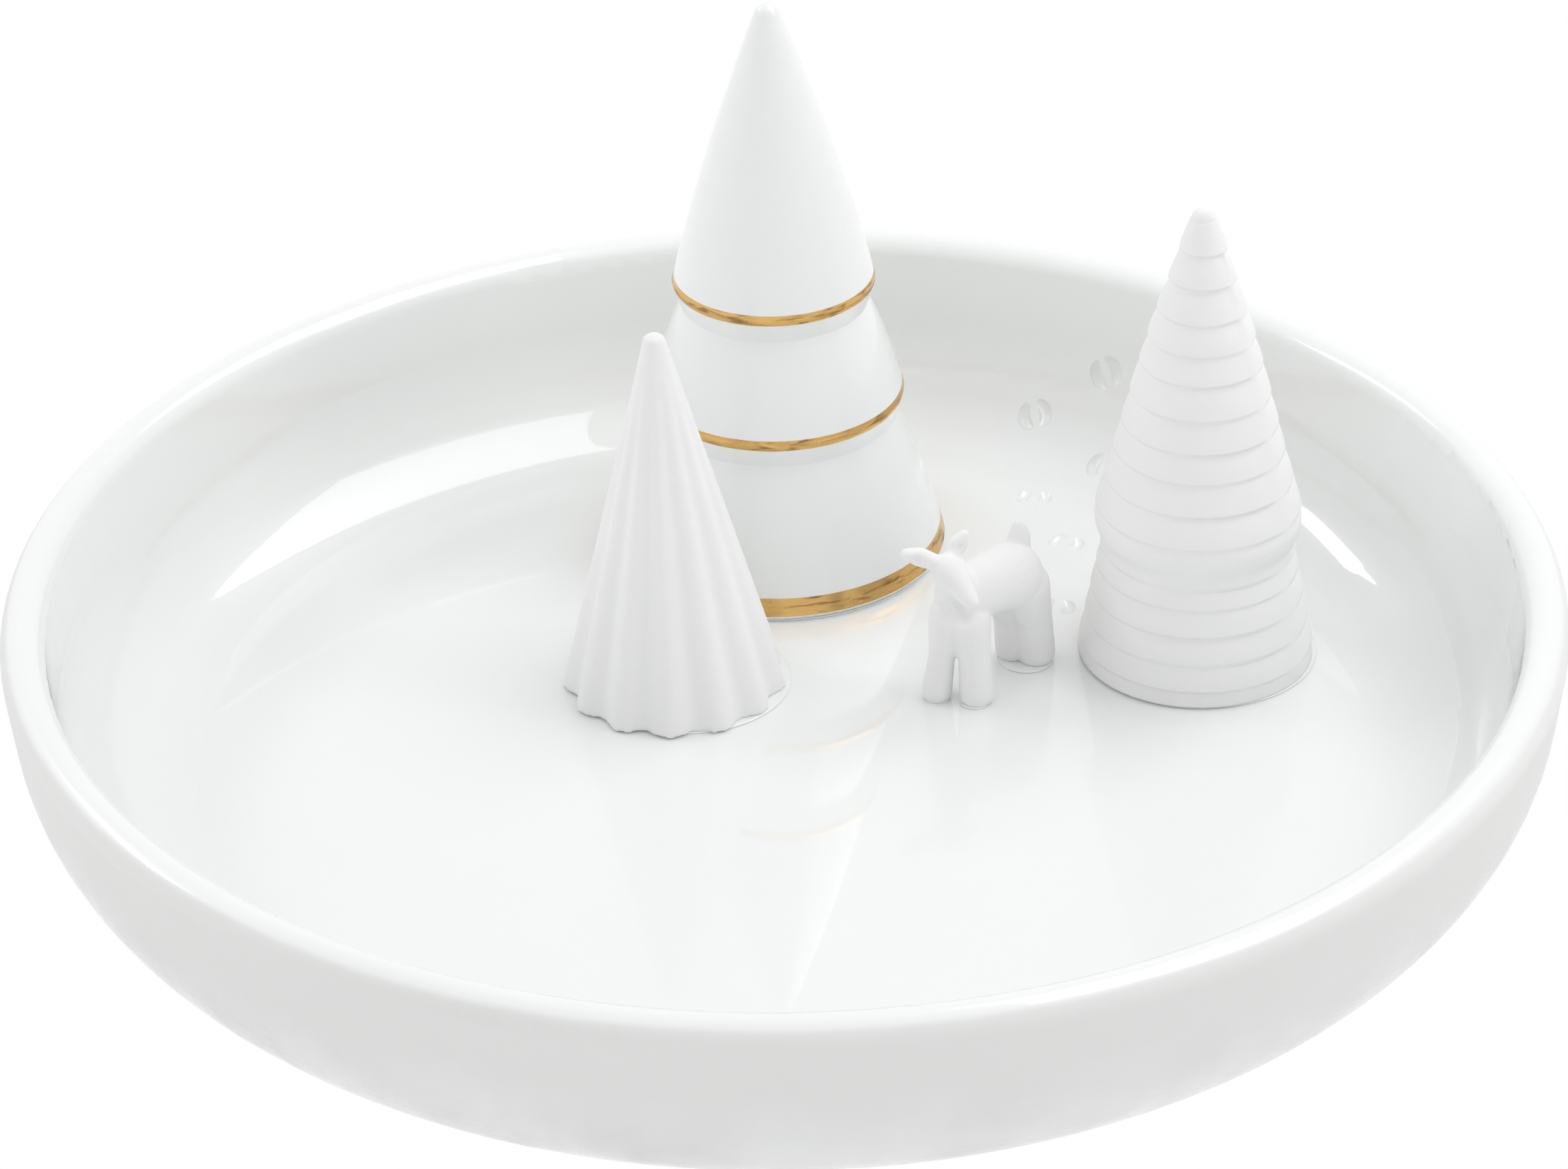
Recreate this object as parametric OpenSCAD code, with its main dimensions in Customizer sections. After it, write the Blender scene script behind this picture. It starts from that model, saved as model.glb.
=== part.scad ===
// Porcelain ring dish: a round dish with three cone trees that hold rings, and a standing fawn.
// Millimetres. The origin is the centre of the foot on the table, and the front faces -Y.

/* [Dish] */
// Outer diameter at the rim
dish_d = 150; // [130:1:190]
// Height from the table to the top of the rim
dish_h = 24; // [23:0.5:40]
// Wall thickness, which the rim rounds over in a half circle
dish_wall = 4.2; // [3:0.1:5]
// Thickness from the table to the top of the flat floor
floor_t = 4; // [3:0.1:6]
// Lean of the wall from upright, in degrees
wall_lean = 6; // [0:0.5:10]
// Radius of the outside curve from the wall to the foot
outer_round = 17.8; // [12:0.1:17.8]
// Radius of the inside curve from the wall to the floor
inner_round = 12.5; // [8:0.1:12.5]
// Width of the ring that the dish stands on
foot_w = 6.5; // [3:0.1:12]
// Depth of the recess inside the foot
foot_recess = 0.9; // [0.3:0.1:1.5]

/* [Tall tree] */
// Height of the tall tree
tall_h = 61; // [50:0.2:75]
// Radius of its foot
tall_foot_r = 17.3; // [16.5:0.1:20]
// Radius and height of its middle lip
tall_lip_a = [13.2, 17.9]; // [10:0.1:30]
// Radius and height of its top lip
tall_lip_b = [10.4, 30.7]; // [8:0.1:45]
// How far each neck is drawn in below its lip
neck_in = 0.75; // [0.4:0.05:1.2]
// How far each neck lies below its lip
neck_drop = 2.5; // [2.2:0.1:3.5]
// Roundness of each lip
lip_round = 0.8; // [0.5:0.05:1]
// Roundness of the tip
tall_tip_r = 1.35; // [0.8:0.05:2]
// Lean of the tall tree towards the left, in degrees
tall_lean = 0.5; // [0:0.1:1]

/* [Gold lines] */
// Width of the line on each lip
gold_w = 1.1; // [0.6:0.1:2]
// Width of the line at the foot
gold_foot_w = 1.9; // [1:0.1:3]
// Height of the foot line's lower edge above the floor
gold_foot_z = 0.45; // [0.45:0.05:1.5]
// Thickness of the fired gold, set flush into the glaze
gold_t = 0.12; // [0.1:0.01:0.3]

/* [Fluted tree] */
// Height of the fluted tree
fluted_h = 39.4; // [30:0.2:50]
// Radius of its foot over the pleats
fluted_foot_r = 11.3; // [9:0.1:13]
// Number of pleats
pleats = 13; // [9:1:16]
// Depth of the pleats at the foot
pleat_depth = 1.1; // [0.4:0.05:1.6]
// Roundness of the tip
fluted_tip_r = 1.15; // [0.8:0.05:1.6]
// How far the tip stands to the left of the foot's centre
fluted_shift = 1.1; // [0:0.1:2]
// Gap between the feet of the fluted and the tall tree
fluted_gap = 1.5; // [0.5:0.1:6]

/* [Ribbed tree] */
// Height of the ribbed tree
ribbed_h = 49.5; // [42:0.2:58]
// Radius of its foot
ribbed_foot_r = 11.85; // [11:0.05:14]
// Radius and height of its lip
ribbed_lip = [10.4, 15.8]; // [9:0.1:20]
// Radius and height of the neck below the lip
ribbed_neck = [9.5, 13.2]; // [8:0.1:18]
// Height of one rib
rib_pitch = 3.1; // [2.6:0.05:4]
// Depth of the groove between two ribs
rib_groove = 0.3; // [0.15:0.05:0.4]
// Lean of the ribbed tree towards the left, in degrees
ribbed_lean = 0.7; // [0:0.1:1.2]
// Gap between its foot and the start of the dish's curve
ribbed_gap = 0.8; // [0.3:0.1:3]

/* [Cast walls] */
// Wall thickness of the hollow cast trees
cast_wall = 2.6; // [2:0.1:3.2]

/* [Fawn] */
// Gap between the ribbed tree's foot and the middle of the fawn
fawn_gap = 9.8; // [9:0.1:14]
// Height of the fawn's back above its hooves
fawn_back_h = 14.6; // [12:0.1:16]
// Length of its body from chest to rump, between centres
fawn_body_l = 7.2; // [5.5:0.1:8]
// Thickness of its body
fawn_body_d = 6; // [4.5:0.1:6.6]

/* [Hoof prints] */
// Depth of each print in the glaze
print_depth = 0.45; // [0.2:0.05:0.7]
// Length of each print
print_l = 2.9; // [2:0.1:4]
// Distance between the two toes of a print
toe_gap = 2.4; // [1.8:0.1:3.2]

/* [Bonds] */
// Thickness of the clear bond under the trees and the fawn
bond_t = 0.2; // [0.1:0.05:0.4]
// How far the bond shows past a foot on the right
bond_show = 0.35; // [0:0.05:0.8]

/* [Hidden] */
$fn = 180;
eps = 0.01;

glaze_white = [0.95, 0.96, 0.95];
bisque_white = [0.97, 0.96, 0.95];
gold = [0.85, 0.62, 0.28];
clear_bond = [0.86, 0.89, 0.9];

// Dish section. A straight leaning wall is tangent to the rim's half circle and to both curves.
dish_r = dish_d / 2;
rim_r = dish_wall / 2;
rim_c = [dish_r - rim_r, dish_h - rim_r];
wall_n = [cos(wall_lean), -sin(wall_lean)];
top_clear = dish_h + 1;
function curve_r(lean_offset, round_r, base_z) =
    (rim_c * wall_n + lean_offset - round_r + (base_z + round_r) * sin(wall_lean)) / cos(wall_lean);
outer_c = [curve_r(rim_r, outer_round, 0), outer_round];
inner_c = [curve_r(-rim_r, inner_round, floor_t), floor_t + inner_round];
foot_in = outer_c[0] - foot_w;
// Radius at which the flat floor ends and the inside curve begins
floor_r = inner_c[0];

// Places of the trees on the floor
function polar(r, a) = r * [cos(a), sin(a)];
foot_round = 0.45;
tall_at = [-0.3, floor_r - tall_foot_r + foot_round];
fluted_at = tall_at + polar(tall_foot_r + fluted_foot_r + fluted_gap, 249);
ribbed_at = polar(floor_r - ribbed_foot_r - ribbed_gap, 22.6);
fawn_at = ribbed_at + polar(ribbed_foot_r + fawn_gap, 193.9);
bonded_z = floor_t + bond_t;

// Arc through two points of a section, bulging out by sag, filled from the axis
module bulged(low, high, sag) {
    chord = high - low;
    length = norm(chord);
    radius = (length * length / 4 + sag * sag) / (2 * sag);
    outward = [chord[1], -chord[0]] / length;
    centre = (low + high) / 2 + outward * (sag - radius);
    reach = 2 * sag;
    intersection() {
        translate(centre) circle(radius, $fn = 720);
        polygon([[0, low[1]], low + [reach, 0], high + [reach, 0], [0, high[1]]]);
    }
}

// Lower right quarter of a disc, up to the leaning wall
module curve_sector(centre, radius) {
    far = centre + 2 * radius * wall_n;
    intersection() {
        translate(centre) circle(radius);
        polygon([centre, centre + [0, -2 * radius], [far[0], centre[1] - 2 * radius], far]);
    }
}

module dish_outside() {
    square([outer_c[0], outer_round]);
    curve_sector(outer_c, outer_round);
    polygon([[0, outer_round], outer_c, outer_c + outer_round * wall_n, rim_c + rim_r * wall_n,
             rim_c, [0, rim_c[1]]]);
}

module dish_inside() {
    translate([0, floor_t]) square([inner_c[0], top_clear]);
    curve_sector(inner_c, inner_round);
    polygon([inner_c, inner_c + inner_round * wall_n, rim_c - rim_r * wall_n,
             [rim_c[0] - rim_r * wall_n[0], top_clear], [inner_c[0], top_clear]]);
}

module dish_section() {
    difference() {
        dish_outside();
        dish_inside();
        polygon([[0, -eps], [foot_in + eps, -eps], [foot_in - foot_recess, foot_recess], [0, foot_recess]]);
    }
    translate(rim_c) circle(rim_r, $fn = 60);
}

// Height and slope of the inside of the dish at a distance from its axis
function inside_z(r) = r <= floor_r ? floor_t : inner_c[1] - sqrt(pow(inner_round, 2) - pow(r - floor_r, 2));
function inside_slope(r) = r <= floor_r ? 0 : asin((r - floor_r) / inner_round);

// The fawn's way down the wall: distance past the floor's edge, direction from the axis, heading
steps = [[11.9, 59.7, 0], [8.6, 65.5, 0], [5.3, 56.8, -25], [-2.4, 61, -20], [-8.8, 52.5, -30], [-19.6, 42.5, -10]];
step_scale = inner_round / 12.5;
toe_tube = 0.75;
toe_tilt = 38;

// One toe: a tilted ring that dips into the glaze on one side only, so its ends fade out
module toe() {
    ring_r = print_l / 2;
    lift = ring_r * sin(toe_tilt) + toe_tube - print_depth;
    translate([toe_gap / 2 - ring_r * cos(toe_tilt), 0, lift])
        rotate([0, toe_tilt, 0])
            rotate_extrude($fn = 60) translate([ring_r, 0]) circle(toe_tube, $fn = 30);
}

module hoof_print(past, direction, heading) {
    r = floor_r + (past > 0 ? past * step_scale : past);
    rotate([0, 0, direction - 90])
        translate([0, r, inside_z(r)])
            rotate([inside_slope(r), 0, 0])
                rotate([0, 0, 90 - direction + heading]) {
                    toe();
                    mirror([1, 0, 0]) toe();
                }
}

module dish() {
    color(glaze_white)
        difference() {
            rotate_extrude($fn = 360) dish_section();
            for (s = steps) hoof_print(s[0], s[1], s[2]);
        }
}

// Tall tree section, from the floor up
neck_a = tall_lip_a - [neck_in, neck_drop];
neck_b = tall_lip_b - [neck_in, neck_drop];
tip_slope = 20;
tip_c = [0, tall_h - tall_tip_r];
tip_edge = tip_c + tall_tip_r * [cos(tip_slope), sin(tip_slope)];
// Depth below the floor that a leaning tree starts from, so that its cut foot is whole
foot_spare = 0.6;

// A lip: a small round edge with its underside running in to the neck
module lip(edge, neck) {
    centre = edge - [lip_round, 0];
    translate(centre) circle(lip_round, $fn = 60);
    polygon([[0, neck[1]], neck, centre + lip_round * [cos(35), -sin(35)], centre, [0, edge[1]]]);
}

module tall_outline() {
    foot_top = [tall_foot_r, foot_round];
    translate([0, -foot_spare]) square([tall_foot_r - foot_round, foot_spare + foot_round]);
    translate([tall_foot_r - foot_round, foot_round]) circle(foot_round, $fn = 60);
    bulged(foot_top, neck_a, 0.35);
    lip(tall_lip_a, neck_a);
    bulged(tall_lip_a, neck_b, 0.25);
    lip(tall_lip_b, neck_b);
    bulged(tall_lip_b, tip_edge, 0.45);
    intersection() {
        translate(tip_c) circle(tall_tip_r, $fn = 60);
        translate([0, tip_edge[1] - eps]) square(2 * tall_tip_r);
    }
}

// Half of a section, right of the axis
module right_half() {
    intersection() {
        children();
        translate([0, -foot_spare]) square([tall_foot_r + 1, tall_h + 1]);
    }
}

module gold_strip(low_z, width) {
    intersection() {
        difference() {
            tall_outline();
            translate([-gold_t, 0]) tall_outline();
        }
        translate([gold_t, low_z]) square([tall_foot_r + 1, width]);
    }
}

module gold_top() gold_strip(tall_lip_b[1] - lip_round / 2, gold_w);
module gold_middle() gold_strip(tall_lip_a[1] - lip_round / 2, gold_w);
module gold_foot() gold_strip(gold_foot_z, gold_foot_w);

module tall_cavity() {
    shallow = cast_wall + gold_t;
    polygon([[0, -foot_spare - eps], [tall_foot_r - shallow, -foot_spare - eps], neck_a - [shallow, 0],
             neck_b - [shallow, 0], [0, tall_h - 4 * cast_wall]]);
}

module below(z) {
    reach = dish_d;
    translate([-reach, -reach, z - reach]) cube([2 * reach, 2 * reach, reach]);
}

module stand(at, z, lean) {
    translate([at[0], at[1], z]) rotate([0, -lean, 0]) children();
}

module tall_tree() {
    color(glaze_white)
        difference() {
            stand(tall_at, bonded_z, tall_lean)
                rotate_extrude()
                    right_half()
                        difference() {
                            tall_outline();
                            tall_cavity();
                            gold_top();
                            gold_middle();
                            gold_foot();
                        }
            below(bonded_z);
        }
}

module gold_line() {
    color(gold) stand(tall_at, bonded_z, tall_lean) rotate_extrude() children();
}

module gold_line_top() gold_line() gold_top();
module gold_line_middle() gold_line() gold_middle();
module gold_line_foot() gold_line() gold_foot();

// A flat pad of clear bond under a foot
module bond_pad(at, radius) {
    edge = bond_t / 2;
    translate([at[0], at[1], floor_t])
        rotate_extrude($fn = 90) {
            square([radius - edge, bond_t]);
            translate([radius - edge, edge]) circle(edge, $fn = 24);
        }
}

module tall_tree_bond() {
    color(clear_bond) bond_pad(tall_at, tall_foot_r - foot_round / 2);
}

// Fluted tree: rounded pleats that run out of the tip and deepen to the foot
pleat_points = 8;
around = pleats * pleat_points;
levels = 20;
fade_from = 0.74;
pleat_turn = 2;

function smooth(t) = t <= 0 ? 0 : t >= 1 ? 1 : t * t * (3 - 2 * t);
// Height of a ring, with the last rings closing the round tip
function fluted_z(i) = fluted_h * (1 - pow(1 - i / levels, 1.35));
function cone_r(z) = fluted_foot_r - (fluted_foot_r - fluted_tip_r) * z / (fluted_h - fluted_tip_r);
function tip_limit(z) = sqrt(max(0, pow(fluted_tip_r, 2) - pow(max(0, z - fluted_h + fluted_tip_r), 2)));
function fluted_r(z) = z > fluted_h - fluted_tip_r ? tip_limit(z) : cone_r(z);
function pleat(a) = 1 - pow(0.5 + 0.5 * cos(pleats * a), 0.7);
function pleat_cut(z, a) =
    pleat_depth * fluted_r(z) / fluted_foot_r * smooth((1 - z / fluted_h) / (1 - fade_from)) * pleat(a);
function fluted_point(z, a) =
    let (r = fluted_r(z) - pleat_cut(z, a + pleat_turn))
    [r * sin(a) - fluted_shift * z / fluted_h, -r * cos(a), z];

function ring_faces(first, count) =
    [for (i = [0:count - 2], j = [0:around - 1])
        let (a = first + i * around, b = a + around, k = (j + 1) % around)
        each [[a + j, b + j, b + k], [a + j, b + k, a + k]]];

module fluted_shell() {
    inner_r = fluted_foot_r - pleat_depth - cast_wall;
    inner_top = fluted_h - 4 * cast_wall;
    inner_tip = [-fluted_shift * inner_top / fluted_h, 0, inner_top];
    inner_ring = [for (j = [0:around - 1]) inner_r * [sin(360 * j / around), -cos(360 * j / around), 0]];
    rings = [for (i = [0:levels - 1], j = [0:around - 1]) fluted_point(fluted_z(i), 360 * j / around)];
    points = concat([inner_tip], inner_ring, rings, [fluted_point(fluted_h, 0)]);
    last = len(points) - 1;
    top = last - around;
    faces = concat(
        [for (j = [0:around - 1]) [0, 1 + j, 1 + (j + 1) % around]],
        ring_faces(1, levels + 1),
        [for (j = [0:around - 1]) [top + j, last, top + (j + 1) % around]]
    );
    polyhedron(points, faces, convexity = 6);
}

module fluted_tree() {
    color(bisque_white)
        translate([fluted_at[0], fluted_at[1], bonded_z]) fluted_shell();
}

module fluted_tree_bond() {
    aside = pleat_depth + bond_show;
    color(clear_bond) bond_pad(fluted_at + [aside, 0], fluted_foot_r - pleat_depth);
}

// Ribbed tree section: each rib overhangs the one below it
rib_tip_r = 1.5;
rib_tip_c = [0, ribbed_h - rib_tip_r];
rib_tip_edge = rib_tip_c + rib_tip_r * [cos(18), sin(18)];
rib_foot = [ribbed_foot_r, 0.5];
rib_lip_round = 1.3;
rib_bulge = 0.12;
// The ribs are a little uneven, as cast from a hand-cut model
function uneven(i) = 0.05 * rib_pitch * sin(137 * i);
// Edges of the ribs between two heights, evenly spaced at about the pitch
function rib_edges(low, high, first) =
    let (count = round((high - low) / rib_pitch))
    [for (i = [0:count]) low + i * (high - low) / count + (i > 0 && i < count ? uneven(first + i) : 0)];
lower_edges = rib_edges(rib_foot[1] + 1.1, ribbed_neck[1], 0);
upper_edges = rib_edges(ribbed_lip[1] + 1.4, ribbed_h - 4.2, 5);
// Radius of a straight flank at a height
function between(low, high, z) = low[0] + (high[0] - low[0]) * (z - low[1]) / (high[1] - low[1]);

module ribs(edges, low, high) {
    for (i = [0:len(edges) - 2])
        bulged([between(low, high, edges[i]), edges[i]],
               [between(low, high, edges[i + 1]) - rib_groove, edges[i + 1]], rib_bulge);
}

module ribbed_outline() {
    lower = lower_edges[0];
    upper = upper_edges[0];
    crown = upper_edges[len(upper_edges) - 1];
    translate([0, -foot_spare]) square([ribbed_foot_r - 0.3, foot_spare + rib_foot[1]]);
    polygon([[0, 0], [ribbed_foot_r - 0.3, 0], rib_foot, [between(rib_foot, ribbed_neck, lower) - rib_groove, lower],
             [0, lower]]);
    ribs(lower_edges, rib_foot, ribbed_neck);
    translate(ribbed_lip - [rib_lip_round, 0]) circle(rib_lip_round, $fn = 60);
    polygon([[0, ribbed_neck[1]], ribbed_neck, ribbed_lip + rib_lip_round * [cos(40) - 1, -sin(40)],
             ribbed_lip - [rib_lip_round, 0], [0, ribbed_lip[1]]]);
    bulged(ribbed_lip, [between(ribbed_lip, rib_tip_edge, upper) - rib_groove, upper], rib_bulge);
    ribs(upper_edges, ribbed_lip, rib_tip_edge);
    bulged([between(ribbed_lip, rib_tip_edge, crown), crown], rib_tip_edge, rib_bulge);
    intersection() {
        translate(rib_tip_c) circle(rib_tip_r, $fn = 60);
        translate([0, rib_tip_edge[1] - eps]) square(2 * rib_tip_r);
    }
}

module ribbed_cavity() {
    polygon([[0, -foot_spare - eps], [ribbed_foot_r - cast_wall, -foot_spare - eps],
             ribbed_neck - [cast_wall, 0], [0, ribbed_h - 4 * cast_wall]]);
}

module ribbed_tree() {
    color(bisque_white)
        difference() {
            stand(ribbed_at, bonded_z, ribbed_lean)
                rotate_extrude()
                    right_half()
                        difference() {
                            ribbed_outline();
                            ribbed_cavity();
                        }
            below(bonded_z);
        }
}

module ribbed_tree_bond() {
    color(clear_bond) bond_pad(ribbed_at + [2 * bond_show, 0], ribbed_foot_r - bond_show);
}

// Fawn, in its own axes: +X towards its chest, +Y its left, heights above its hooves
fawn_heading = 227;
body_r = fawn_body_d / 2;
back_z = fawn_back_h - body_r;
chest = [fawn_body_l / 2, 0, back_z + 0.3];
rump = [-fawn_body_l / 2, 0, back_z];
withers = chest + [1.4, 0, body_r * 0.4];
head = chest + [3.4, 0.6, body_r + 1.5];
nose = head + [0.4, 3.6, -2.9];
fine = 20;

module ball(at, r) translate(at) sphere(r, $fn = fine);

module limb(points, radii) {
    for (i = [0:len(points) - 2])
        hull() {
            ball(points[i], radii[i]);
            ball(points[i + 1], radii[i + 1]);
        }
}

// A leg from the body down to a hoof that stands flat
module leg(top, hoof, thick) {
    knee = (top + hoof) / 2 + [0.1, 0, 0.4];
    limb([top, knee, hoof + [0, 0, 0.8]], [thick, thick * 0.62, thick * 0.66]);
}

module ear(root, tip) {
    spread = (tip - root) / norm(tip - root);
    hull() {
        ball(root, 0.55);
        ball((root + tip) / 2, 0.85);
        ball(tip - 0.35 * spread, 0.4);
    }
}

module fawn_body() {
    hull() {
        ball(chest, body_r);
        ball(rump, body_r);
    }
    limb([withers, (withers + head) / 2 - [0, 0.2, 0.2], head], [body_r * 0.85, 2, 1.9]);
    hull() {
        ball(head, 2);
        ball(nose, 0.85);
    }
    ear(head + [-1, -1.4, 0.9], head + [0.5, -4.5, 1.9]);
    ear(head + [-1.4, 0.8, 1.2], head + [-2.4, 2, 3.6]);
    leg([chest[0] + 0.9, 1.6, chest[2] - 1], [4.4, 1.75, 0], 1.75);
    leg([chest[0] + 1.3, -1.6, chest[2] - 1], [6.2, -1.65, 0], 1.75);
    leg([rump[0] - 0.5, 1.5, rump[2] - 0.8], [-5.7, 1.4, 0], 2);
    leg([rump[0] - 0.2, -1.5, rump[2] - 0.8], [-4.6, -1.4, 0], 2);
    limb([rump + [-2, 0, 1.9], rump + [-2.8, -0.3, 4.2]], [1, 0.65]);
}

module fawn() {
    color(bisque_white)
        difference() {
            translate([fawn_at[0], fawn_at[1], bonded_z]) rotate([0, 0, fawn_heading]) fawn_body();
            below(bonded_z);
        }
}

module fawn_bond() {
    color(clear_bond)
        translate([fawn_at[0], fawn_at[1], 0])
            rotate([0, 0, fawn_heading]) {
                bond_pad([4.4, 1.75], 1.5);
                bond_pad([6.2, -1.65], 1.3);
                bond_pad([-5.1, 0.4], 2.7);
            }
}

dish();
tall_tree();
gold_line_top();
gold_line_middle();
gold_line_foot();
tall_tree_bond();
fluted_tree();
fluted_tree_bond();
ribbed_tree();
ribbed_tree_bond();
fawn();
fawn_bond();
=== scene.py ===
import math
import bpy
import numpy as np
from mathutils import Matrix, Vector


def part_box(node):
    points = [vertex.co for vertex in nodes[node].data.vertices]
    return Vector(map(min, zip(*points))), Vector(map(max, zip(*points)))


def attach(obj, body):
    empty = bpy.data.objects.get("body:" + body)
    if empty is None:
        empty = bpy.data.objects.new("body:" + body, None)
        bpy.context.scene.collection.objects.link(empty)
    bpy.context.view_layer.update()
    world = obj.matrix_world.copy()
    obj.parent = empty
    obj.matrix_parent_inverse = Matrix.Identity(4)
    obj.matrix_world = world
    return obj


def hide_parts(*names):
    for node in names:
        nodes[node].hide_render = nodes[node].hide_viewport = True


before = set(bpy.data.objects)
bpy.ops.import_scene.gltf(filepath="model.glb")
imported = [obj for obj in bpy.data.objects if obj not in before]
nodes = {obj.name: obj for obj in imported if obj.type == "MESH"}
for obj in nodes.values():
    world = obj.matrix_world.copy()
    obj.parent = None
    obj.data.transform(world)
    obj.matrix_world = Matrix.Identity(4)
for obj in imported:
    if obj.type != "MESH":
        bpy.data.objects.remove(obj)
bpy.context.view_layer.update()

mm = 0.001

# the camera stands where the outlines fall as they do in the photo
cameraSettings = {
    "focalPx": 7000.0,      # focal length in pixels of the 2216 px wide frame
    "frameWidthPx": 2216.0,
    "sensorMm": 36.0,
    "elevationDeg": 30.827,
    "rollDeg": -0.884,
    "placeMm": (0.007, -409.77, 267.07),
}


def makeCamera(s):
    # looks along +Y and down by the elevation, then rolls about its own line of sight
    e, roll = math.radians(s["elevationDeg"]), math.radians(s["rollDeg"])
    right, up = Vector((1, 0, 0)), Vector((0, math.sin(e), math.cos(e)))
    forward = Vector((0, math.cos(e), -math.sin(e)))
    rolledRight = math.cos(roll) * right + math.sin(roll) * up
    rolledUp = -math.sin(roll) * right + math.cos(roll) * up
    data = bpy.data.cameras.new("camera")
    data.sensor_width = s["sensorMm"]
    data.lens = s["focalPx"] / s["frameWidthPx"] * s["sensorMm"]
    camera = bpy.data.objects.new("camera", data)
    turn = Matrix((rolledRight, rolledUp, -forward)).transposed()
    camera.matrix_world = Matrix.Translation(Vector(s["placeMm"]) * mm) @ turn.to_4x4()
    bpy.context.collection.objects.link(camera)
    bpy.context.scene.camera = camera


makeCamera(cameraSettings)
print("camera placed")


def fill(tree, socket, value):
    # a socket takes either another node's output or a fixed value
    if isinstance(value, bpy.types.NodeSocket):
        tree.links.new(value, socket)
    else:
        socket.default_value = value


def dress(tree, node, values):
    for key, value in values.items():
        fill(tree, node.inputs[key], value)


def newMaterial(name):
    mat = bpy.data.materials.new(name)
    mat.use_nodes = True
    tree = mat.node_tree
    tree.nodes.clear()
    out = tree.nodes.new("ShaderNodeOutputMaterial")
    shader = tree.nodes.new("ShaderNodeBsdfPrincipled")
    tree.links.new(shader.outputs["BSDF"], out.inputs["Surface"])
    return mat, tree, shader


def addNode(tree, kind, values=None, **settings):
    node = tree.nodes.new(kind)
    for key, value in settings.items():
        setattr(node, key, value)
    dress(tree, node, values or {})
    return node


def maths(tree, operation, a, b=0.0, c=0.0):
    return addNode(tree, "ShaderNodeMath", {0: a, 1: b, 2: c}, operation=operation).outputs[0]


def lengthOf(tree, a, b):
    # the square root of a squared plus b squared
    squares = maths(tree, "ADD", maths(tree, "MULTIPLY", a, a), maths(tree, "MULTIPLY", b, b))
    return maths(tree, "SQRT", squares)


def ramp(tree, value, low, high, lowTo=0.0, highTo=1.0):
    node = addNode(tree, "ShaderNodeMapRange", {"Value": value, "From Min": low, "From Max": high,
                                                "To Min": lowTo, "To Max": highTo})
    node.interpolation_type = "SMOOTHSTEP"
    return node.outputs["Result"]


def objectPlace(tree):
    return addNode(tree, "ShaderNodeTexCoord").outputs["Object"]


def noise(tree, place, scale, detail=3.0, distort=0.0):
    values = {"Vector": place, "Scale": scale, "Detail": detail, "Distortion": distort}
    return addNode(tree, "ShaderNodeTexNoise", values).outputs["Fac"]


def mixColor(tree, factor, a, b):
    # 0, 6 and 7 are the Mix node's factor and its two colours
    node = addNode(tree, "ShaderNodeMix", data_type="RGBA")
    dress(tree, node, {0: factor, 6: a, 7: b})
    return node.outputs[2]


noiseMean = 0.5
grainRange = (0.3, 0.7)     # nearly all heights of the grain lie between these
grainSettings = {"fineDetail": 4.0, "broadPerMm": 0.06, "broadDetail": 2.0}


def makeGrainGroup(s):
    # fine even grain: a height for bump, and a small change of tone around 1
    group = bpy.data.node_groups.new("fineGrain", "ShaderNodeTree")
    for name in ("Cells per mm", "Tone"):
        group.interface.new_socket(name, in_out="INPUT", socket_type="NodeSocketFloat")
    for name in ("Height", "Shade"):
        group.interface.new_socket(name, in_out="OUTPUT", socket_type="NodeSocketFloat")
    start, end = group.nodes.new("NodeGroupInput"), group.nodes.new("NodeGroupOutput")
    place = objectPlace(group)
    scale = maths(group, "MULTIPLY", start.outputs["Cells per mm"], 1 / mm)
    fine = noise(group, place, scale, s["fineDetail"])
    broad = noise(group, place, s["broadPerMm"] / mm, s["broadDetail"])
    around = maths(group, "SUBTRACT", broad, noiseMean)
    shade = maths(group, "MULTIPLY_ADD", around, start.outputs["Tone"], 1.0)
    group.links.new(fine, end.inputs["Height"])
    group.links.new(shade, end.inputs["Shade"])
    return group


grainGroup = makeGrainGroup(grainSettings)


def grain(tree, cellsPerMm, tone):
    node = addNode(tree, "ShaderNodeGroup", node_tree=grainGroup)
    dress(tree, node, {"Cells per mm": cellsPerMm, "Tone": tone})
    return node.outputs["Height"], node.outputs["Shade"]


def shaded(tree, color, shade):
    # the colour times the shade factor, on all three channels
    scale = addNode(tree, "ShaderNodeVectorMath", {0: color, "Scale": shade}, operation="SCALE")
    return scale.outputs["Vector"]


def bumped(tree, height, s):
    values = {"Height": height, "Strength": s["bump"], "Distance": s["bumpMm"] * mm}
    return addNode(tree, "ShaderNodeBump", values).outputs["Normal"]


glazeFinish = {
    "color": (0.865, 0.88, 0.875),
    "mattColor": (0.80, 0.80, 0.795),
    "roughness": 0.3,
    "mattRoughness": 0.62,
    "coat": 1.0,
    "coatRoughness": 0.02,
    "curveMm": (57.2, 17.2),    # radius and height of a centre in the dish's turned section
    "glazeEndMm": 17.05,        # distance from that centre at which the glaze stops, over the rim
    "glazeFadeMm": 0.25,        # half the width over which it stops
    "wanderMm": 0.35,           # how far its edge wanders
    "wanderPerMm": 0.12,
    "grainPerMm": 1.6,
    "grainTone": 0.02,
    "grainShare": 0.03,         # share of the grain in the bump, beside the glaze's slow wave
    "wavePerMm": 0.09,
    "waveDetail": 2.0,
    "bump": 0.5,
    "bumpMm": 0.12,
}


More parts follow.
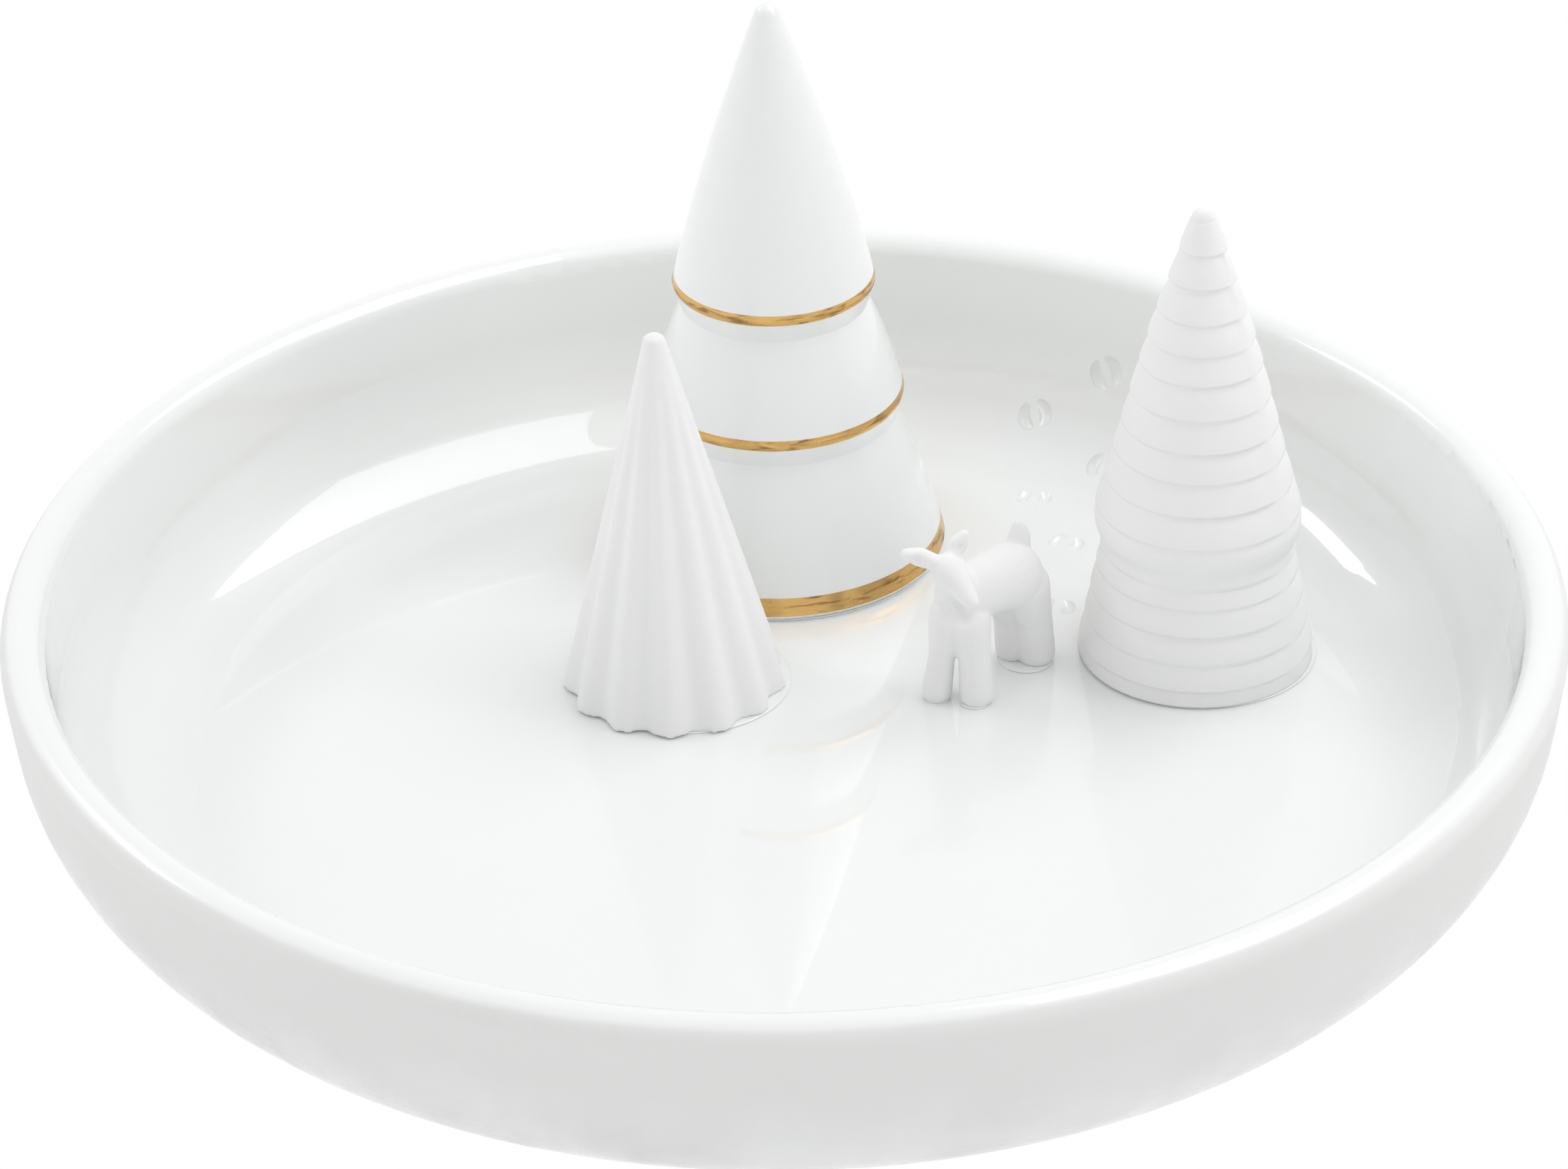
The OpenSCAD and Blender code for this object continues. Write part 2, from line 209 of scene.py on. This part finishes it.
def makeGlaze(s):
    # glazed inside and matt outside: they meet where the distance from the section's centre,
    # the square root of across squared plus down squared, passes the rim
    mat, tree, shader = newMaterial("glazedPorcelain")
    place = objectPlace(tree)
    split = addNode(tree, "ShaderNodeSeparateXYZ", {"Vector": place})
    x, y, z = (split.outputs[i] for i in range(3))
    centreR, centreZ = (size * mm for size in s["curveMm"])
    across = maths(tree, "MAXIMUM", maths(tree, "SUBTRACT", lengthOf(tree, x, y), centreR), 0.0)
    down = maths(tree, "MINIMUM", maths(tree, "SUBTRACT", z, centreZ), 0.0)
    uneven = maths(tree, "SUBTRACT", noise(tree, place, s["wanderPerMm"] / mm), noiseMean)
    wander = maths(tree, "MULTIPLY", uneven, s["wanderMm"] * mm)
    edge = maths(tree, "ADD", lengthOf(tree, across, down), wander)
    glazeEnd, fade = s["glazeEndMm"], s["glazeFadeMm"]
    bare = ramp(tree, edge, (glazeEnd - fade) * mm, (glazeEnd + fade) * mm)
    height, shade = grain(tree, s["grainPerMm"], s["grainTone"])
    color = mixColor(tree, bare, (*s["color"], 1), (*s["mattColor"], 1))
    wave = noise(tree, place, s["wavePerMm"] / mm, s["waveDetail"])
    relief = maths(tree, "ADD", wave, maths(tree, "MULTIPLY", height, s["grainShare"]))
    dress(tree, shader, {
        "Base Color": shaded(tree, color, shade),
        "Roughness": ramp(tree, bare, 0, 1, s["roughness"], s["mattRoughness"]),
        "Coat Weight": ramp(tree, bare, 0, 1, s["coat"], 0.0),
        "Coat Roughness": s["coatRoughness"],
        "Normal": bumped(tree, relief, s),
    })
    return mat


mattFinish = {
    "color": (0.87, 0.872, 0.868),
    "roughness": (0.63, 0.73),      # over the grain's range of heights
    "grainPerMm": 2.4,
    "grainTone": 0.025,
    "poreHeights": (0.28, 0.36),    # the grain's rare dark pores lie below these
    "poreTone": 0.985,
    "bump": 0.35,
    "bumpMm": 0.06,
}


def makeMatt(s):
    mat, tree, shader = newMaterial("mattPorcelain")
    height, shade = grain(tree, s["grainPerMm"], s["grainTone"])
    pores = ramp(tree, height, *s["poreHeights"], s["poreTone"], 1.0)
    dress(tree, shader, {
        "Base Color": shaded(tree, s["color"], maths(tree, "MULTIPLY", shade, pores)),
        "Roughness": ramp(tree, height, *grainRange, *s["roughness"]),
        "Normal": bumped(tree, height, s),
    })
    return mat


goldFinish = {
    "color": (0.72, 0.45, 0.16),
    "brown": (0.30, 0.16, 0.07),
    "roughness": (0.16, 0.38),      # where the gold is thick and where it is thin
    "roughFrom": (0.35, 0.75),      # streak values between which the roughness rises
    "brownFrom": (0.5, 0.72),       # streak values between which the brown comes in
    "streakPerMm": 0.35,
    "streakDetail": 4.0,
    "streakDistort": 0.4,
    "flatten": 6,                   # how many times longer than high a streak is
    "bump": 0.3,
    "bumpMm": 0.05,
}


def makeGold(s):
    # thin fired gold: brush streaks run round the line, browner and rougher where it is thin
    mat, tree, shader = newMaterial("goldLustre")
    squeeze = {"Vector": objectPlace(tree), "Scale": (1, 1, s["flatten"])}
    flat = addNode(tree, "ShaderNodeMapping", squeeze).outputs["Vector"]
    streak = noise(tree, flat, s["streakPerMm"] / mm, s["streakDetail"], s["streakDistort"])
    thin = ramp(tree, streak, *s["brownFrom"])
    dress(tree, shader, {
        "Base Color": mixColor(tree, thin, (*s["color"], 1), (*s["brown"], 1)),
        "Metallic": 1.0,
        "Roughness": ramp(tree, streak, *s["roughFrom"], *s["roughness"]),
        "Normal": bumped(tree, streak, s),
    })
    return mat


bondFinish = {
    "color": (0.865, 0.88, 0.875),
    "roughness": (0.09, 0.17),      # over the grain's range of heights
    "grainPerMm": 0.5,
    "grainTone": 0.03,
    "bump": 0.4,
    "bumpMm": 0.1,
}


def makeBond(s):
    # clear bond over white glaze: it takes the glaze's tone, with a wetter gloss
    mat, tree, shader = newMaterial("clearBond")
    height, shade = grain(tree, s["grainPerMm"], s["grainTone"])
    dress(tree, shader, {
        "Base Color": shaded(tree, s["color"], shade),
        "Roughness": ramp(tree, height, *grainRange, *s["roughness"]),
        "Coat Weight": 1.0,
        "Normal": bumped(tree, height, s),
    })
    return mat


glazedPorcelain = makeGlaze(glazeFinish)
mattPorcelain = makeMatt(mattFinish)
goldLustre = makeGold(goldFinish)
clearBond = makeBond(bondFinish)

piecesOf = (
    (glazedPorcelain, ("dish", "tall_tree")),
    (goldLustre, ("gold_line_top", "gold_line_middle", "gold_line_foot")),
    (mattPorcelain, ("fluted_tree", "ribbed_tree", "fawn")),
    (clearBond, ("tall_tree_bond", "fluted_tree_bond", "ribbed_tree_bond", "fawn_bond")),
)
for finish, names in piecesOf:
    for name in names:
        for materialSlot in nodes[name].material_slots:
            materialSlot.material = finish
print("finishes made")


def finishPiece(mesh, name, node):
    # a smooth-shaded matt piece that stands where its node stands
    mesh.polygons.foreach_set("use_smooth", np.ones(len(mesh.polygons), bool))
    mesh.materials.clear()
    mesh.materials.append(mattPorcelain)
    mesh.update()
    piece = bpy.data.objects.new(name, mesh)
    bpy.context.collection.objects.link(piece)
    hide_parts(node)
    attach(piece, "root")


relaxShare = 0.5        # how far each round moves a point towards the mean of its neighbours


def relaxedCast(mesh, voxelMm, smoothing):
    # the mesh made even by a voxel remesh, then relaxed, as casting and polishing soften a form
    holder = bpy.data.objects.new("holder", mesh)
    bpy.context.collection.objects.link(holder)
    remesh = holder.modifiers.new("remesh", "REMESH")
    remesh.mode = "VOXEL"
    remesh.voxel_size = voxelMm * mm
    relax = holder.modifiers.new("relax", "SMOOTH")
    relax.factor = relaxShare
    relax.iterations = smoothing
    softened = holder.evaluated_get(bpy.context.evaluated_depsgraph_get())
    shape = bpy.data.meshes.new_from_object(softened)
    bpy.data.objects.remove(holder)
    return shape


def meshPoints(mesh):
    points = np.empty(len(mesh.vertices) * 3)
    mesh.vertices.foreach_get("co", points)
    return points.reshape(-1, 3)


def ringQuads(rows, around):
    # four-sided faces between neighbouring rings of a grid that closes on itself around its axis
    i, j = np.meshgrid(np.arange(rows - 1), np.arange(around), indexing="ij")
    k = (j + 1) % around
    quads = np.stack([i * around + j, i * around + k, (i + 1) * around + k, (i + 1) * around + j],
                     axis=-1)
    return quads.reshape(-1, 4)


flutedCast = {"voxelMm": 0.3, "smoothing": 2}


def makeFlutedTree(s):
    shape = relaxedCast(nodes["fluted_tree"].data.copy(), s["voxelMm"], s["smoothing"])
    low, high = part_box("fluted_tree")
    points = np.clip(meshPoints(shape), np.array(low), np.array(high))   # the foot stays flat
    shape.vertices.foreach_set("co", points.ravel())
    finishPiece(shape, "fluted_tree_cast", "fluted_tree")


ribbedCast = {
    "levels": 300,
    "around": 260,
    "crowding": 1.15,       # above 1, the levels stand closer together towards the tip
    # radius and height above the foot, in millimetres, at the section's corners
    "section": ((11.85, 0.0), (11.85, 1.2), (9.7, 12.4), (9.62, 13.3), (10.25, 14.7),
                (10.42, 15.9), (10.15, 17.4), (8.5, 23.4), (6.7, 30.7), (5.0, 37.0),
                (3.2, 42.6), (1.85, 46.9), (1.2, 48.7)),
    "roundOver": 7,         # levels over which a corner of the section is rounded, an odd number
    # height of each rib's lower edge, in millimetres
    "ribs": (1.7, 4.4, 7.3, 10.1, 12.2, 17.0, 20.3, 23.4, 26.4, 29.6, 33.0, 35.8, 38.8, 42.1,
             45.3),
    "grooveMm": 0.45,
    "edgeMm": 0.1,          # how sharply a rib's lower edge turns in
    "runOutMm": 0.9,        # how slowly the groove runs out below that edge
    "waver": 0.25,          # the grooves are a little uneven in depth
    "waverTurns": 3,
    "waverPerMm": 0.9,
    "seamDeg": -35.0,       # where the grooves fade out, from +X, towards the front
    "seamWidthDeg": 10.0,
    "seamFade": 0.92,       # share of the depth that is lost on the seam
    "leanDeg": 0.7,
}


def sectionRadius(s, z, height):
    # straight runs between the section's corners, rounded by a moving mean, under a round tip:
    # there the radius is the square root of the tip's radius squared less the rise squared
    corners = np.array(s["section"])
    tipRadius = corners[-1, 0]
    straight = np.interp(z, corners[:, 1], corners[:, 0])
    kernel = np.hanning(s["roundOver"])
    padded = np.pad(straight, s["roundOver"] // 2, mode="edge")
    profile = np.convolve(padded, kernel / kernel.sum(), "valid")
    tip = np.sqrt(tipRadius ** 2 - np.clip(z - height + tipRadius, 0, tipRadius) ** 2)
    return np.where(z > height - tipRadius, np.minimum(profile, tip), profile), tipRadius


def grooveDepth(s, z):
    # 0 above a rib's lower edge, and below it one minus a fast decay, times a slow decay
    below = np.array(s["ribs"])[None, :] - z[:, None]
    turnIn, runOut = 1 - np.exp(-below / s["edgeMm"]), np.exp(-below / s["runOutMm"])
    return np.where(below > 0, turnIn * runOut, 0).max(axis=1)


def makeRibbedTree(s):
    # a grid of height and angle: the section's radius less the groove, which fades near the seam
    low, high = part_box("ribbed_tree")
    foot, height = low.z / mm, (high.z - low.z) / mm
    lean = math.tan(math.radians(s["leanDeg"]))
    level = np.linspace(0, 1, s["levels"])
    z = height * (1 - (1 - level) ** s["crowding"])
    a = np.linspace(0, 2 * np.pi, s["around"], endpoint=False)
    profile, tipRadius = sectionRadius(s, z, height)
    fromSeam = np.angle(np.exp(1j * (a - math.radians(s["seamDeg"]))))
    fade = 1 - s["seamFade"] * np.exp(-(fromSeam / math.radians(s["seamWidthDeg"])) ** 2)
    waver = 1 + s["waver"] * np.sin(s["waverTurns"] * a[None, :] + s["waverPerMm"] * z[:, None])
    cut = s["grooveMm"] * grooveDepth(s, z)[:, None] * fade[None, :] * waver
    r = np.maximum(profile[:, None] - cut * (profile[:, None] > tipRadius), 0)
    axisX, axisY = (low.x + high.x) / 2 / mm, (low.y + high.y) / 2 / mm
    x = axisX - lean * z[:, None] + r * np.cos(a)[None, :]
    y = axisY + r * np.sin(a)[None, :]
    up = np.broadcast_to(z[:, None], x.shape) + foot
    grid = np.stack([x, y, up], axis=-1).reshape(-1, 3)
    ends = np.array([[axisX, axisY, foot], [axisX - lean * height, axisY, high.z / mm]])
    points = np.vstack([grid, ends]) * mm
    rows, n = s["levels"], s["around"]
    j = np.arange(n)
    k = (j + 1) % n
    under = np.stack([np.full(n, rows * n), k, j], axis=-1)
    over = np.stack([np.full(n, rows * n + 1), (rows - 1) * n + j, (rows - 1) * n + k], axis=-1)
    faces = ringQuads(rows, n).tolist() + under.tolist() + over.tolist()
    mesh = bpy.data.meshes.new("ribbed_tree_cast")
    mesh.from_pydata(points.tolist(), [], faces)
    finishPiece(mesh, "ribbed_tree_cast", "ribbed_tree")


# places in millimetres, with heights above the bond under the hooves
fawnCast = {
    "voxelMm": 0.15,
    "smoothing": 9,
    "lengthwise": 18,       # balls along each limb
    "around": 20,           # points round each ball
    # each limb is a list of place and radius
    "limbs": {
        "body": (((17.6, 10.4, 10.2), 2.8), ((20.0, 12.0, 10.8), 3.0), ((22.5, 13.8, 10.8), 3.4)),
        "neck": (((17.2, 10.0, 11.2), 2.4), ((16.7, 9.1, 13.2), 1.75), ((16.2, 8.3, 14.9), 1.6)),
        "head": (((16.2, 7.4, 15.2), 1.85), ((17.0, 6.2, 14.6), 1.35), ((18.3, 4.7, 13.2), 0.85)),
        "leftEar": (((15.0, 7.7, 16.0), 0.75), ((13.3, 7.4, 16.7), 1.1), ((12.0, 7.2, 17.2), 0.65)),
        "rightEar": (((16.6, 8.6, 16.3), 0.75), ((17.2, 8.9, 17.3), 1.0), ((17.7, 9.2, 18.2), 0.55)),
        "frontLeft": (((16.3, 9.9, 8.6), 2.1), ((15.6, 9.1, 4.6), 1.35), ((15.1, 8.7, 0.7), 1.55)),
        "frontRight": (((18.3, 9.2, 8.4), 2.2), ((18.8, 8.4, 4.4), 1.65), ((19.0, 7.9, 0.7), 1.75)),
        "hindRight": (((23.9, 14.2, 9.4), 2.7), ((24.9, 15.1, 5.2), 2.0), ((25.3, 15.6, 0.9), 2.0)),
        "hindLeft": (((22.2, 15.0, 9.2), 2.6), ((22.6, 15.9, 5.0), 1.7), ((22.9, 16.3, 0.9), 1.7)),
        "tail": (((23.2, 15.2, 11.8), 1.5), ((23.5, 15.6, 14.2), 1.15), ((23.4, 15.6, 15.5), 0.6)),
    },
    # hollows pressed in with a round tool: place, reach and depth
    "hollows": {
        "eye": ((16.1, 5.7, 14.9), 0.5, 0.6),
        "leftEar": ((13.1, 6.4, 16.5), 0.9, 0.8),
        "rightEar": ((17.5, 8.0, 17.3), 0.75, 0.7),
        "chest": ((17.2, 7.3, 10.2), 1.3, 1.3),
    },
}


def limbMesh(points, radii, lengthwise, around):
    # balls along the limb's path, whose centres and radii run evenly from one given place to the
    # next: each is its radius times (sin u cos v, sin u sin v, minus cos u), and the remesh joins them
    points, radii = np.array(points), np.array(radii)
    given = np.arange(len(points))
    t = np.linspace(0, len(points) - 1, lengthwise)
    path = np.stack([np.interp(t, given, points[:, i]) for i in range(3)], axis=-1)
    thick = np.interp(t, given, radii)
    down = np.linspace(0, np.pi, around // 2 + 1)
    u, v = np.meshgrid(down, np.linspace(0, 2 * np.pi, around, endpoint=False), indexing="ij")
    ball = np.stack([np.sin(u) * np.cos(v), np.sin(u) * np.sin(v), -np.cos(u)], axis=-1)
    ball = ball.reshape(-1, 3)
    balls = path[:, None, :] + thick[:, None, None] * ball[None, :, :]
    step = (np.arange(lengthwise) * len(ball))[:, None, None]
    quads = ringQuads(len(down), around)[None] + step
    return balls.reshape(-1, 3), quads.reshape(-1, 4)


def makeFawn(s):
    # the limbs' balls as one softened skin, less a bell-shaped dent at each hollow:
    # depth times the exponential of minus the distance over the reach, squared
    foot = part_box("fawn")[0].z
    onBond = np.array([0, 0, foot])
    allPoints, allQuads, count = [], [], 0
    for limb in s["limbs"].values():
        points, quads = limbMesh([place for place, radius in limb], [radius for place, radius in limb],
                                 s["lengthwise"], s["around"])
        allPoints.append(points)
        allQuads.append(quads + count)
        count += len(points)
    points = np.vstack(allPoints) * mm + onBond
    mesh = bpy.data.meshes.new("fawn_limbs")
    mesh.from_pydata(points.tolist(), [], np.vstack(allQuads).tolist())
    shape = relaxedCast(mesh, s["voxelMm"], s["smoothing"])
    shape.name = "fawn_cast"
    points = meshPoints(shape)
    normals = np.empty(len(shape.vertices) * 3)
    shape.vertex_normals.foreach_get("vector", normals)
    normals = normals.reshape(-1, 3)
    for place, reach, depth in s["hollows"].values():
        centre = np.array(place) * mm + onBond
        away = np.linalg.norm(points - centre, axis=1) / (reach * mm)
        points -= normals * (depth * mm * np.exp(-away ** 2))[:, None]
    points[:, 2] = np.maximum(points[:, 2], foot)   # flat hooves
    shape.vertices.foreach_set("co", points.ravel())
    finishPiece(shape, "fawn_cast", "fawn")


makeFlutedTree(flutedCast)
makeRibbedTree(ribbedCast)
makeFawn(fawnCast)
print("casts made")


def seenOrReflected(tree):
    # 1 for rays that come from the camera, a mirror-like surface or through a clear one
    path = tree.nodes.new("ShaderNodeLightPath")
    direct = maths(tree, "MAXIMUM", path.outputs["Is Camera Ray"],
                   path.outputs["Is Transmission Ray"])
    return maths(tree, "MAXIMUM", direct, path.outputs["Is Glossy Ray"])


white = (1, 1, 1, 1)
floorSettings = {"widthM": 6.0, "color": (0.86, 0.86, 0.86), "roughness": 0.9, "dropMm": 0.02}


def makeFloor(s):
    half = s["widthM"] / 2
    corners = [(-half, -half, 0), (half, -half, 0), (half, half, 0), (-half, half, 0)]
    mesh = bpy.data.meshes.new("floor")
    mesh.from_pydata(corners, [], [(0, 1, 2, 3)])
    floor = bpy.data.objects.new("floor", mesh)
    bpy.context.collection.objects.link(floor)
    floor.location.z = -s["dropMm"] * mm
    mat, tree, shader = newMaterial("floorPaper")
    dress(tree, shader, {"Base Color": (*s["color"], 1), "Roughness": s["roughness"]})
    glow = addNode(tree, "ShaderNodeEmission", {"Color": white, "Strength": 1.0})
    mix = addNode(tree, "ShaderNodeMixShader", {0: seenOrReflected(tree)})
    tree.links.new(shader.outputs["BSDF"], mix.inputs[1])
    tree.links.new(glow.outputs["Emission"], mix.inputs[2])
    tree.links.new(mix.outputs["Shader"], tree.nodes["Material Output"].inputs["Surface"])
    mesh.materials.append(mat)


# strength in all, and the share of it at the horizon, overhead, and on each side
worldSettings = {"strength": 0.92, "horizon": 1.08, "overhead": 0.68, "left": 1.15, "right": 0.85}


def makeWorld(s):
    world = bpy.data.worlds.new("studio")
    bpy.context.scene.world = world
    world.use_nodes = True
    tree = world.node_tree
    tree.nodes.clear()
    out = tree.nodes.new("ShaderNodeOutputWorld")
    direction = addNode(tree, "ShaderNodeTexCoord").outputs["Generated"]
    split = addNode(tree, "ShaderNodeSeparateXYZ", {"Vector": direction})
    upward = ramp(tree, split.outputs["Z"], 0, 1, s["horizon"], s["overhead"])
    sideways = ramp(tree, split.outputs["X"], -1, 1, s["left"], s["right"])   # window on the left
    lit = maths(tree, "MULTIPLY", maths(tree, "MULTIPLY", upward, sideways), s["strength"])
    strength = ramp(tree, seenOrReflected(tree), 0, 1, lit, 1.0)
    back = addNode(tree, "ShaderNodeBackground", {"Color": white, "Strength": strength})
    tree.links.new(back.outputs["Background"], out.inputs["Surface"])


# place, aim and size in millimetres, power in watts
lamps = {
    "leftSoftbox": {"place": (-620, 330, 560), "aim": (0, 10, 10), "size": (420, 120), "power": 0.8},
    "topSoftbox": {"place": (380, 150, 700), "aim": (0, 20, 10), "size": (700, 460), "power": 2.4},
    "rightFill": {"place": (700, -150, 420), "aim": (0, 0, 20), "size": (200, 300), "power": 0.3},
}


def makeLamp(name, s):
    data = bpy.data.lights.new(name, "AREA")
    data.shape = "RECTANGLE"
    data.size, data.size_y = s["size"][0] * mm, s["size"][1] * mm
    data.energy = s["power"]
    lamp = bpy.data.objects.new(name, data)
    place, aim = Vector(s["place"]) * mm, Vector(s["aim"]) * mm
    lamp.location = place
    lamp.rotation_mode = "QUATERNION"
    lamp.rotation_quaternion = (aim - place).to_track_quat("-Z", "Y")
    bpy.context.collection.objects.link(lamp)


makeFloor(floorSettings)
makeWorld(worldSettings)
for name, s in lamps.items():
    makeLamp(name, s)
bpy.context.scene.view_settings.view_transform = "Standard"
print("stage and lamps placed")
